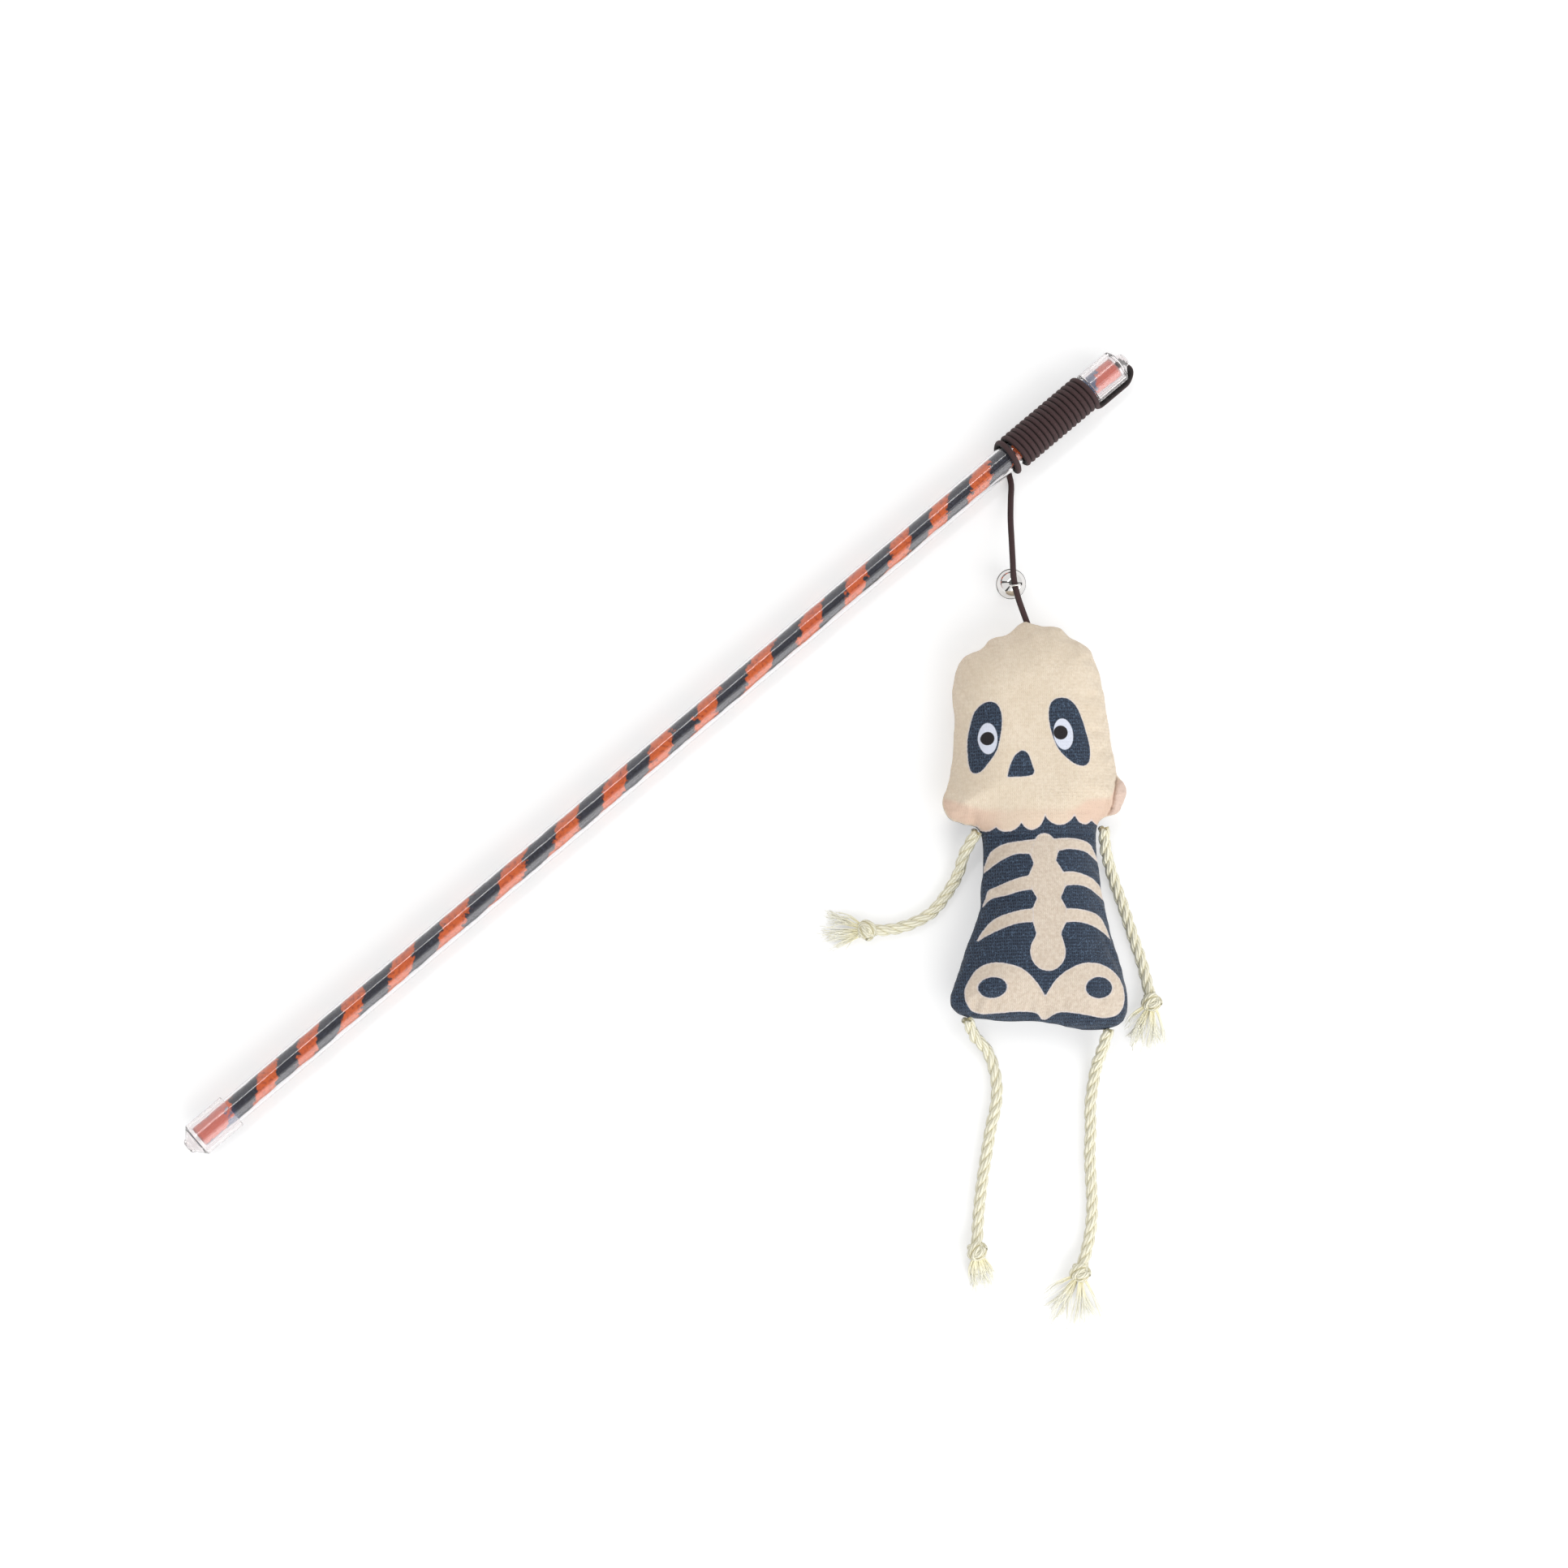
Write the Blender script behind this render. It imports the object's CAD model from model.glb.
import bmesh
import bpy
import math
import random
import numpy as np
from mathutils import Matrix, Vector, noise


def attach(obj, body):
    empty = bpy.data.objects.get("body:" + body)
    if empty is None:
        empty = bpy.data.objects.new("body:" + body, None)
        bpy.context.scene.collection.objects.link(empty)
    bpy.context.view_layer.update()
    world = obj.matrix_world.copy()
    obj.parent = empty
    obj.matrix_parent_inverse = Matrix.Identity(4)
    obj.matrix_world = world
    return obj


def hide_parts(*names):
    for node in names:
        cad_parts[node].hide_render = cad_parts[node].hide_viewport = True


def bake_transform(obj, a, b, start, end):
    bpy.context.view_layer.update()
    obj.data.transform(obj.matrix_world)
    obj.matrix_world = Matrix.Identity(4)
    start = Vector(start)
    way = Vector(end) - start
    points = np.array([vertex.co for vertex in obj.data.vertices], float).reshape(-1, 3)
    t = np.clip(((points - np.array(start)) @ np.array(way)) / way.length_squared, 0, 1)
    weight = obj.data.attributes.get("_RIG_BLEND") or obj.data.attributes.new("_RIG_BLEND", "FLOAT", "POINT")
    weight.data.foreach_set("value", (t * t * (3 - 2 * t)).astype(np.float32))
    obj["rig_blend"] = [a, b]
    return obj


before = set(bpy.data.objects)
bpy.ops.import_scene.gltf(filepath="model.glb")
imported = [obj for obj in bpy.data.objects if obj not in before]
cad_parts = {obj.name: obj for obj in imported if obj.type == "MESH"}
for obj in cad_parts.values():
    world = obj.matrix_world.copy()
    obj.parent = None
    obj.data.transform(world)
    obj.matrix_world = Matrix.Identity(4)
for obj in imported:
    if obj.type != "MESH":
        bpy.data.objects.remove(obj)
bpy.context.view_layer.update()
mm = 0.001
up = Vector((0, 0, 1))
print("frame loaded")

# camera: above the floor near the wand's butt, looking at the floor under the picture's middle
camera = {
    "place": (0.03208, -0.02714, 1.1435),
    "aim": (0.21639, -0.03424, -0.0065),
    "pictureUp": (0.63944, 0.76260, 0.09777),
    "focalPixels": 4404.2,
    "picturePixels": 1932,
    "sensorMm": 36.0,
    "nearest": 0.01,
}


def addCamera():
    data = bpy.data.cameras.new("camera")
    obj = bpy.data.objects.new("camera", data)
    bpy.context.collection.objects.link(obj)
    place = Vector(camera["place"])
    look = (Vector(camera["aim"]) - place).normalized()
    pictureUp = Vector(camera["pictureUp"])
    pictureUp = (pictureUp - look * look.dot(pictureUp)).normalized()
    turn = Matrix((look.cross(pictureUp), pictureUp, -look)).transposed().to_4x4()
    obj.matrix_world = Matrix.Translation(place) @ turn
    data.sensor_width = camera["sensorMm"]
    data.lens = camera["focalPixels"] / camera["picturePixels"] * camera["sensorMm"]
    data.clip_start = camera["nearest"]
    bpy.context.scene.camera = obj


addCamera()
bpy.context.scene.view_settings.view_transform = "Standard"
print("camera set")


# shared helpers
def hexColor(text):  # sRGB hex to linear
    channels = [int(text[i:i + 2], 16) / 255 for i in (1, 3, 5)]
    return tuple(c / 12.92 if c <= 0.04045 else ((c + 0.055) / 1.055) ** 2.4 for c in channels) + (1.0,)


def newMaterial(name):
    material = bpy.data.materials.new(name)
    material.use_nodes = True
    tree = material.node_tree
    return material, tree, tree.nodes["Principled BSDF"]


def feed(tree, node, inputs):  # sets or links sockets; a node stands for its first live output
    for key, value in inputs.items():
        if isinstance(value, bpy.types.Node):
            value = next(socket for socket in value.outputs if socket.enabled)
        if isinstance(value, bpy.types.NodeSocket):
            tree.links.new(value, node.inputs[key])
        else:
            node.inputs[key].default_value = value


def addNode(tree, kind, inputs=None, **settings):
    node = tree.nodes.new("ShaderNode" + kind)
    for key, value in settings.items():
        setattr(node, key, value)
    feed(tree, node, inputs or {})
    return node


def layColors(tree, look, ranges, plan):  # mixes the look's colours over each other, each through its mask
    mask = {name: addNode(tree, "MapRange", {"Value": value, "From Min": low, "From Max": high,
                                             "To Max": most}, interpolation_type="SMOOTHSTEP")
            for name, (value, low, high, most) in ranges.items()}
    paint = {name: hexColor(look[name]) for name in look if str(look[name]).startswith("#")}
    for name, ground, layers in plan:
        color = paint[ground]
        for layer, over in layers:
            color = addNode(tree, "Mix", {"Factor": mask[layer], "A": color, "B": paint[over]},
                            data_type="RGBA")
        paint[name] = color
    return color


def showMesh(name, mesh, material, body, smooth=True):  # turns a bmesh into a piece that rides on a body
    bmesh.ops.recalc_face_normals(mesh, faces=mesh.faces)
    data = bpy.data.meshes.new(name)
    mesh.to_mesh(data)
    mesh.free()
    for face in data.polygons:
        face.use_smooth = smooth
    obj = bpy.data.objects.new(name, data)
    bpy.context.collection.objects.link(obj)
    data.materials.append(material)
    if body:
        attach(obj, body)
    return obj


def smoothPath(points, step, perSpan=16):  # a smooth curve through the points, cut into equal steps
    points = [Vector(p) for p in points]
    ends = [points[0] * 2 - points[1]] + points + [points[-1] * 2 - points[-2]]
    fine = []
    for a, b, c, d in zip(ends, ends[1:], ends[2:], ends[3:]):
        for k in range(perSpan):
            t = k / perSpan
            fine.append(0.5 * (2 * b + (c - a) * t + (2 * a - 5 * b + 4 * c - d) * t ** 2
                               + (3 * b - a - 3 * c + d) * t ** 3))
    fine.append(points[-1])
    return equalSteps(fine, step)


def pathLength(points):
    return sum((b - a).length for a, b in zip(points, points[1:]))


def equalSteps(points, step):
    total = pathLength(points)
    count = max(2, round(total / step))
    out, walked, k = [points[0].copy()], 0.0, 0
    for i in range(1, count):
        target = total * i / count
        while walked + (points[k + 1] - points[k]).length < target:
            walked += (points[k + 1] - points[k]).length
            k += 1
        part = points[k + 1] - points[k]
        out.append(points[k] + part * ((target - walked) / part.length))
    return out + [points[-1].copy()]


def pathFrames(path):  # an outward direction at each point, upward at first and carried along without twist
    last = len(path) - 1
    tangents = [(path[min(i + 1, last)] - path[max(i - 1, 0)]).normalized() for i in range(len(path))]
    out, outs = up, []
    for tangent in tangents:
        out = (out - tangent * tangent.dot(out)).normalized()
        outs.append(out)
    return tangents, outs


def sweepTube(mesh, path, radius, sides, outs=None, radii=None):
    # a ring is extruded from point to point; the UV map runs round the tube and along it in millimetres
    tangents, carried = pathFrames(path)
    outs = outs or carried
    floats, maps = mesh.verts.layers.float, mesh.loops.layers.uv
    around, along, uv = (layers.get(name) or layers.new(name)
                         for layers, name in ((floats, "around"), (floats, "along"), (maps, "UVMap")))
    before = set(mesh.faces)

    def placeOf(i):
        side = tangents[i].cross(outs[i]).normalized()
        out = side.cross(tangents[i])
        size = radii[i] if radii else radius
        turn = Matrix((out * size, side * size, tangents[i] * size)).transposed().to_4x4()
        return Matrix.Translation(path[i]) @ turn

    ring = bmesh.ops.create_circle(mesh, cap_ends=True, radius=1, segments=sides)["verts"]
    for vert in ring:
        vert[around] = (math.atan2(vert.co.y, vert.co.x) / (2 * math.pi)) % 1.0
        vert[along] = 0
    place = placeOf(0)
    bmesh.ops.transform(mesh, matrix=place, verts=ring)
    inRing = set(ring)
    edges = [e for e in set(e for v in ring for e in v.link_edges) if set(e.verts) <= inRing]
    walked = 0.0
    for i in range(1, len(path)):
        made = bmesh.ops.extrude_edge_only(mesh, edges=edges)["geom"]
        verts = [g for g in made if isinstance(g, bmesh.types.BMVert)]
        edges = [g for g in made if isinstance(g, bmesh.types.BMEdge)]
        nextPlace = placeOf(i)
        bmesh.ops.transform(mesh, matrix=nextPlace @ place.inverted(), verts=verts)
        place = nextPlace
        walked += (path[i] - path[i - 1]).length / mm
        for vert in verts:
            vert[along] = walked
    bmesh.ops.edgeloop_fill(mesh, edges=edges)
    for face in set(mesh.faces) - before:
        # the last face round the tube runs on to a full turn
        wraps = max(loop.vert[around] for loop in face.loops) > 0.75 and len(face.verts) == 4
        for loop in face.loops:
            turn = loop.vert[around]
            loop[uv].uv = (turn + (wraps and turn < 0.25), loop.vert[along])


# the cord's cover: a dull brown braid over elastic rubber, paler along its outer side where it rubs
cordLook = {"color": "#42292A", "shade": "#120909", "roughness": 0.72, "sheen": 0.05,
            "plaitsRound": 12, "plaitMm": 0.45, "bumpMm": 0.05,
            # where round the cord it is rubbed, and the weave's range with the light in its valleys
            "rubbed": (-0.15, 1.0), "woven": (0.2, 1.0, 0.6)}


def braidMaterial():
    material, tree, shader = newMaterial("coveredElastic")
    uv = addNode(tree, "UVMap", uv_map="UVMap")
    split = addNode(tree, "SeparateXYZ", {"Vector": uv})
    across, along = (addNode(tree, "Math", {0: split.outputs[axis], 1: perUnit}, operation="MULTIPLY")
                     for axis, perUnit in (("X", cordLook["plaitsRound"]), ("Y", 1 / cordLook["plaitMm"])))
    plaits = []
    for operation in ("ADD", "SUBTRACT"):  # two sets of plaits that cross
        both = addNode(tree, "Math", {0: across, 1: along}, operation=operation)
        angle = addNode(tree, "Math", {0: both, 1: math.pi}, operation="MULTIPLY")
        wave = addNode(tree, "Math", {0: angle}, operation="SINE")
        plaits.append(addNode(tree, "Math", {0: wave}, operation="ABSOLUTE"))
    weave = addNode(tree, "Math", {0: plaits[0], 1: plaits[1]}, operation="MAXIMUM")
    turn = addNode(tree, "Math", {0: split.outputs["X"], 1: 2 * math.pi}, operation="MULTIPLY")
    outer = addNode(tree, "Math", {0: turn}, operation="COSINE")
    (rubLow, rubHigh), (low, high, least) = cordLook["rubbed"], cordLook["woven"]
    rubbed = addNode(tree, "MapRange", {"Value": outer, "From Min": rubLow, "From Max": rubHigh},
                     interpolation_type="SMOOTHSTEP")
    lit = addNode(tree, "MapRange", {"Value": weave, "From Min": low, "From Max": high, "To Min": least})
    pale = addNode(tree, "Math", {0: rubbed, 1: lit}, operation="MULTIPLY")
    color = addNode(tree, "Mix", {"Factor": pale, "A": hexColor(cordLook["shade"]),
                                  "B": hexColor(cordLook["color"])}, data_type="RGBA")
    bump = addNode(tree, "Bump", {"Height": weave, "Distance": cordLook["bumpMm"] * mm})
    feed(tree, shader, {"Base Color": color, "Normal": bump, "Roughness": cordLook["roughness"],
                        "Sheen Weight": cordLook["sheen"]})
    return material


elastic = braidMaterial()

# the free cord: from the hitch through the bell's eye to the doll's head
cord = {
    "start": (341.0975, 0, 0),
    "route": [(0, -3.9, -5.5), (-2, -7.5, -5.3), (-5.5, -11, -4.3), (-10.5, -16, -2.1),
              (-15.5, -21.5, 0.6), (-20, -26.5, 3), (-23.5, -30.5, 4.4), (-25.5, -33.5, 4.8),
              (-27.3, -37, 4.7), (-28.6, -40.6, 4), (-29.5, -44, 2.5)],
    "intoHeadMm": 2.2, "widthMm": 2.0, "sides": 16, "roundEnd": (0.92, 0.6), "stepMm": 1.4,
}


def roundEnds(path, radius, shares):  # adds half-round ends, as ring places and radii
    head = (path[0] - path[1]).normalized()
    tail = (path[-1] - path[-2]).normalized()
    rings = [radius * math.sqrt(1 - s * s) for s in shares]
    before = [path[0] + head * radius * s for s in shares]
    after = [path[-1] + tail * radius * s for s in shares[::-1]]
    return before + path + after, rings + [radius] * len(path) + rings[::-1]


def makeFreeCord():
    points = [(Vector(cord["start"]) + Vector(p)) * mm for p in cord["route"]]
    points.append(points[-1] + (points[-1] - points[-2]).normalized() * cord["intoHeadMm"] * mm)
    path = smoothPath(points, cord["stepMm"] * mm)
    radius = cord["widthMm"] / 2 * mm
    full, radii = roundEnds(path, radius, cord["roundEnd"])
    mesh = bmesh.new()
    sweepTube(mesh, full, radius, cord["sides"], radii=radii)
    obj = showMesh("free_cord", mesh, elastic, "cord")
    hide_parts("lure_cord")
    print("free cord", round(pathLength(path) / mm, 1), "mm")


makeFreeCord()

# the doll's own frame: its origin is the end of the cord, +Y runs to its head
doll = {"place": (311.5975, -44.0, 2.5), "turn": math.radians(-39)}
dollFrame = Matrix.Translation(Vector(doll["place"]) * mm) @ Matrix.Rotation(doll["turn"], 4, "Z")


def onDoll(x, y, z=0.0):
    return dollFrame @ (Vector((x, y, z)) * mm)


# rope limbs: soft three-strand cotton rope, cream, with a knot and a frayed end
rope = {
    "widthMm": 4.0, "layMm": 13, "strandShare": 0.53, "sides": 12, "stepMm": 0.8, "intoBodyMm": 1.6,
    "routeStepMm": 4,
    "roots": {"left_arm": (-19.4405, -71.25), "right_arm": (23.594, -70.925),
              "left_leg": (-23.4, -131.855), "right_leg": (22.113, -136.47)},
    "routes": {
        "left_arm": [(0, 0, 0), (-3, -5.5, -3), (-4.5, -11.5, -6.4), (-8, -17.5, -7), (-13.5, -24, -7),
                     (-20, -27.5, -7), (-26.5, -29.3, -7), (-33.2, -29.7, -6)],
        "right_arm": [(0, 0, 0), (0.8, -5.5, -2.4), (2.6, -10.5, -5.8), (4.4, -16, -7), (7, -24, -7),
                      (9.6, -33, -7), (12.6, -43, -7), (14.5, -53, -6)],
        "left_leg": [(0, 0, 0), (2.5, -4.5, -3), (6.2, -8, -5.8), (8.6, -13, -7), (9.8, -20, -7),
                     (9.2, -27, -7), (7.3, -34, -7), (5.7, -42, -7), (4.1, -50, -7), (2.8, -58, -7),
                     (2, -65, -7), (1.3, -71.2, -6)],
        "right_leg": [(0, 0, 0), (-1.2, -4.8, -2.6), (-2.6, -10, -6), (-3.8, -16, -7), (-5, -23, -7),
                      (-5.2, -31, -7), (-5.8, -39, -7), (-5.7, -47, -7), (-5.6, -54, -7), (-6.1, -61, -7),
                      (-7.4, -67.5, -7), (-9.9, -75, -6)],
    },
    # each knot's place from the root, and the turn, spread and reach of the frayed end
    "ends": {"left_arm": ((-35.6, -29.6), 178, 60, 14), "right_arm": ((14.8, -55.5), -101, 60, 15),
             "left_leg": ((1.1, -73.4), -76, 44, 12), "right_leg": ((-10.8, -76.8), -104, 78, 17)},
}
ropeLook = {"color": "#FFFBE4", "valley": "#DED4A6", "roughness": 0.9, "sheen": 0.2,
            "yarnsRound": 6, "yarnTurnMm": 9.5, "wanderMm": 3.0, "bumpMm": 0.3, "fuzzMm": 0.3,
            "crown": 0.6, "ridge": (0.0, 0.6, 0.4), "fuzzShare": 0.5}


def ropeMaterial():  # spun cotton: matt, soft; its yarns lie along the rope, turned against the strands
    material, tree, shader = newMaterial("spunCotton")
    uv = addNode(tree, "UVMap", uv_map="UVMap")
    split = addNode(tree, "SeparateXYZ", {"Vector": uv})
    place = addNode(tree, "TexCoord").outputs["Object"]
    wander = addNode(tree, "TexNoise", {"Vector": place, "Scale": 1 / (ropeLook["wanderMm"] * mm),
                                        "Detail": 1.0})
    along = addNode(tree, "Math", {0: split.outputs["Y"], 1: 1 / ropeLook["yarnTurnMm"],
                                   2: split.outputs["X"]}, operation="MULTIPLY_ADD")
    slant = addNode(tree, "Math", {0: along, 1: ropeLook["yarnsRound"], 2: wander}, operation="MULTIPLY_ADD")
    angle = addNode(tree, "Math", {0: slant, 1: math.pi}, operation="MULTIPLY")
    wave = addNode(tree, "Math", {0: angle}, operation="SINE")
    yarn = addNode(tree, "Math", {0: wave}, operation="ABSOLUTE")
    turn = addNode(tree, "Math", {0: split.outputs["X"], 1: 2 * math.pi}, operation="MULTIPLY")
    outward = addNode(tree, "Math", {0: turn}, operation="COSINE")
    crown = addNode(tree, "MapRange", {"Value": outward, "From Min": -ropeLook["crown"],
                                       "From Max": ropeLook["crown"]}, interpolation_type="SMOOTHSTEP")
    low, high, least = ropeLook["ridge"]
    ridge = addNode(tree, "MapRange", {"Value": yarn, "From Min": low, "From Max": high, "To Min": least})
    pale = addNode(tree, "Math", {0: crown, 1: ridge}, operation="MULTIPLY")
    fuzz = addNode(tree, "TexNoise", {"Vector": place, "Scale": 1 / (ropeLook["fuzzMm"] * mm),
                                      "Detail": 3.0, "Roughness": 0.6})
    height = addNode(tree, "Math", {0: fuzz, 1: ropeLook["fuzzShare"], 2: yarn}, operation="MULTIPLY_ADD")
    color = addNode(tree, "Mix", {"Factor": pale, "A": hexColor(ropeLook["valley"]),
                                  "B": hexColor(ropeLook["color"])}, data_type="RGBA")
    bump = addNode(tree, "Bump", {"Height": height, "Distance": ropeLook["bumpMm"] * mm})
    feed(tree, shader, {"Base Color": color, "Normal": bump, "Roughness": ropeLook["roughness"],
                        "Sheen Weight": ropeLook["sheen"]})
    return material


cotton = ropeMaterial()


def twistStrands(mesh, path, width, lay, sides):  # three strands wound round the path
    tangents, outs = pathFrames(path)
    walked = [0.0]
    for a, b in zip(path, path[1:]):
        walked.append(walked[-1] + (b - a).length)
    strand = width * rope["strandShare"] / 2
    offset = width / 2 - strand
    for k in range(3):
        centre, faced = [], []
        for point, tangent, out, s in zip(path, tangents, outs, walked):
            away = Matrix.Rotation(2 * math.pi * (s / lay + k / 3), 3, tangent) @ out
            centre.append(point + away * offset)
            faced.append(away)
        sweepTube(mesh, centre, strand, sides, outs=faced)


def knotPath(turnRadius, swing, stretch, steps=96):  # a trefoil about the X axis: two turns, three crossings
    path = []
    for k in range(steps):
        a = 4 * math.pi * k / steps
        r = turnRadius + swing * math.cos(1.5 * a)
        path.append(Vector((swing * stretch * math.sin(1.5 * a), r * math.cos(a), r * math.sin(a))))
    return path + [path[0].copy()]


# each limb ends in a tight overhand knot with the rope's fibres combed out beyond it in soft locks
knot = {"turnRadius": 1.25, "swing": 0.75, "stretch": 1.9, "ropeMm": 3.4, "layMm": 60, "heightMm": -5.3,
        "roll": 0.5, "sides": 12}
fray = {"locks": 12, "fibres": 8, "fibreMm": 0.36, "tipShare": 0.5, "lockMm": 1.5, "mouthMm": 1.3,
        "aheadMm": 1.2, "steps": 9, "sides": 5, "floorMm": 8.7, "color": "#FFFDEE", "root": "#FAF3CC",
        # the fan: the locks' lean as a share of the spread, its scatter in degrees, and each lock's length
        "leanShare": 0.62, "leanDegrees": 4, "middleReach": 1.02, "sideLoss": 0.2, "lengths": (0.88, 1.08),
        # one lock: its height at the mouth, its curl, and its fibres' places, lengths, heights and rest
        "mouthHeights": (-6.6, -4.4), "curlMm": 1.3, "apart": 0.5, "beginMm": 0.4,
        "fibreLengths": (0.8, 1.06), "thickMm": 0.7, "restMm": 1.6, "strays": 12, "strayReach": 2.4,
        "palerMm": (1.0, 8.0)}


def frayMaterial():  # combed-out cotton fibre: soft, pale and matt, a little yellower where it is packed
    material, tree, shader = newMaterial("combedCottonFibre")
    uv = addNode(tree, "UVMap", uv_map="UVMap")
    split = addNode(tree, "SeparateXYZ", {"Vector": uv})
    along = addNode(tree, "MapRange", {"Value": split.outputs["Y"], "From Min": fray["palerMm"][0],
                                       "From Max": fray["palerMm"][1]})
    color = addNode(tree, "Mix", {"Factor": along, "A": hexColor(fray["root"]),
                                  "B": hexColor(fray["color"])}, data_type="RGBA")
    feed(tree, shader, {"Base Color": color, "Roughness": ropeLook["roughness"],
                        "Sheen Weight": ropeLook["sheen"]})
    return material


combed = frayMaterial()


def makeKnot(limb):
    root = rope["roots"][limb]
    (x, y), turn = rope["ends"][limb][:2]
    place = dollFrame @ Matrix.Translation(Vector((root[0] + x, root[1] + y, knot["heightMm"])) * mm) \
        @ Matrix.Rotation(math.radians(turn), 4, "Z") @ Matrix.Rotation(knot["roll"], 4, "X")
    path = [place @ (p * mm) for p in knotPath(knot["turnRadius"], knot["swing"], knot["stretch"])]
    mesh = bmesh.new()
    twistStrands(mesh, path, knot["ropeMm"] * mm, knot["layMm"] * mm, knot["sides"])
    obj = showMesh(f"{limb}_end_knot", mesh, cotton, limb)
    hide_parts(f"{limb}_knot")
    return obj


def makeFray(limb, seed):  # each lock is a bundle of thin fibres that part towards their tips
    random.seed(seed)
    scatter = random.uniform
    root = rope["roots"][limb]
    (x, y), turn, spread, reach = rope["ends"][limb]
    heart = Vector((root[0] + x, root[1] + y, 0))
    ahead = Vector((math.cos(math.radians(turn)), math.sin(math.radians(turn)), 0))
    sideways = Vector((-ahead.y, ahead.x, 0))
    begins = fray["beginMm"]
    mesh = bmesh.new()
    for lock in range(fray["locks"]):
        share = 2 * (lock + 0.5) / fray["locks"] - 1  # from one side of the fan to the other
        lean = math.radians(turn + share * spread * fray["leanShare"]
                            + scatter(-fray["leanDegrees"], fray["leanDegrees"]))
        length = reach * (fray["middleReach"] - fray["sideLoss"] * share * share) * scatter(*fray["lengths"])
        lockEnd = Vector((math.cos(lean), math.sin(lean), 0)) * length
        lockBegin = ahead * fray["aheadMm"] + sideways * share * fray["mouthMm"]
        lockHeight = scatter(*fray["mouthHeights"])
        curl = scatter(-1, 1) * fray["curlMm"]
        for fibre in range(fray["fibres"]):
            apart = Vector([random.gauss(0, fray["apart"]) for side in "xy"] + [0]) * fray["lockMm"]
            if random.random() < 1 / fray["strays"]:
                apart *= fray["strayReach"]
            begin = lockBegin + Vector((scatter(-begins, begins), scatter(-begins, begins), 0))
            end = lockEnd * scatter(*fray["fibreLengths"]) + apart
            height = lockHeight + scatter(-fray["thickMm"], fray["thickMm"])
            rest = scatter(-fray["floorMm"], -fray["floorMm"] + fray["restMm"])
            points = []
            for t in (0, 0.25, 0.5, 0.75, 1):
                p = heart + begin * (1 - t) + end * t + sideways * curl * math.sin(math.pi * t)
                p.z = height + (rest - height) * (1 - (1 - t) ** 2)
                points.append(onDoll(*p))
            path = smoothPath(points, length * mm / fray["steps"])
            radius = fray["fibreMm"] / 2 * mm
            radii = [radius * (1 - (1 - fray["tipShare"]) * i / (len(path) - 1)) for i in range(len(path))]
            sweepTube(mesh, path, radius, fray["sides"], radii=radii)
    obj = showMesh(f"{limb}_frayed_end", mesh, combed, limb)
    return obj


def makeRopes():
    width = rope["widthMm"] * mm
    for limb, route in rope["routes"].items():
        root = rope["roots"][limb]
        points = [onDoll(root[0] + p[0], root[1] + p[1], p[2]) for p in route]
        inside = points[0] + (points[0] - points[1]).normalized() * rope["intoBodyMm"] * mm
        path = smoothPath([inside] + points, rope["stepMm"] * mm)
        mesh = bmesh.new()
        twistStrands(mesh, path, width, rope["layMm"] * mm, rope["sides"])
        obj = showMesh(f"{limb}_cotton_rope", mesh, cotton, limb)
        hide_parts(f"{limb}_rope")
        onIt = [makeKnot(limb), makeFray(limb, len(limb) + ord(limb[0]))]
        along = equalSteps(path, rope["routeStepMm"] * mm)
        print(limb, "rope", round(pathLength(path) / mm, 1), "mm")


makeRopes()

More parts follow.
